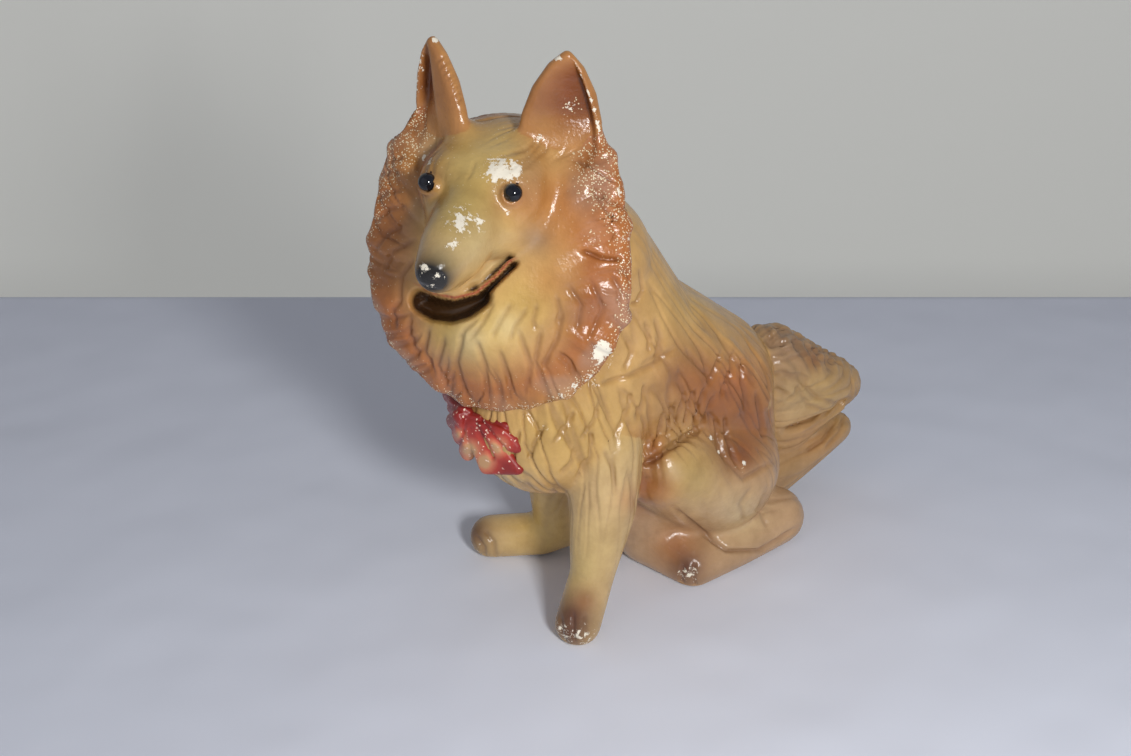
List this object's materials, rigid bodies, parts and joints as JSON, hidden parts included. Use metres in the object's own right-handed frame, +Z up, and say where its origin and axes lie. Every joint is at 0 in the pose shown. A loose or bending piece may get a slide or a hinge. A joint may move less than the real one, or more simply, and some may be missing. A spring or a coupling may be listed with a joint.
{
  "type": "figurine",
  "caption": "Seated long-haired dog figurine in painted plaster, head turned aside, with a deep ruff, a bow on the chest, glass eyes and a curled tail.",
  "frame": {"origin": "on the table under the seat of the figure, at the face that it rests on", "axes": "+Z up, the body faces -Y, the dog's left side is +X, the head is turned towards +X"},
  "size_m": [0.1151, 0.2889, 0.2778],
  "materials": {
    "coat_plaster": "satin",
    "bow_plaster": "satin",
    "bare_plaster": "matte",
    "eye_glass": "gloss",
    "iron_wire": "matte"
  },
  "bodies": {
    "root": {"torso_casting": "coat_plaster", "head_casting": "coat_plaster", "left_ear": "coat_plaster", "right_ear": "coat_plaster", "left_foreleg": "coat_plaster", "right_foreleg": "coat_plaster", "tail_casting": "coat_plaster", "bow": "bow_plaster", "left_eye": "eye_glass", "right_eye": "eye_glass", "left_eye_wire": "iron_wire", "right_eye_wire": "iron_wire", "left_ear_wire": "iron_wire", "right_ear_wire": "iron_wire", "left_foreleg_wire": "iron_wire", "right_foreleg_wire": "iron_wire", "tail_wire": "iron_wire", "base_plug": "bare_plaster"}
  },
  "joints": []
}
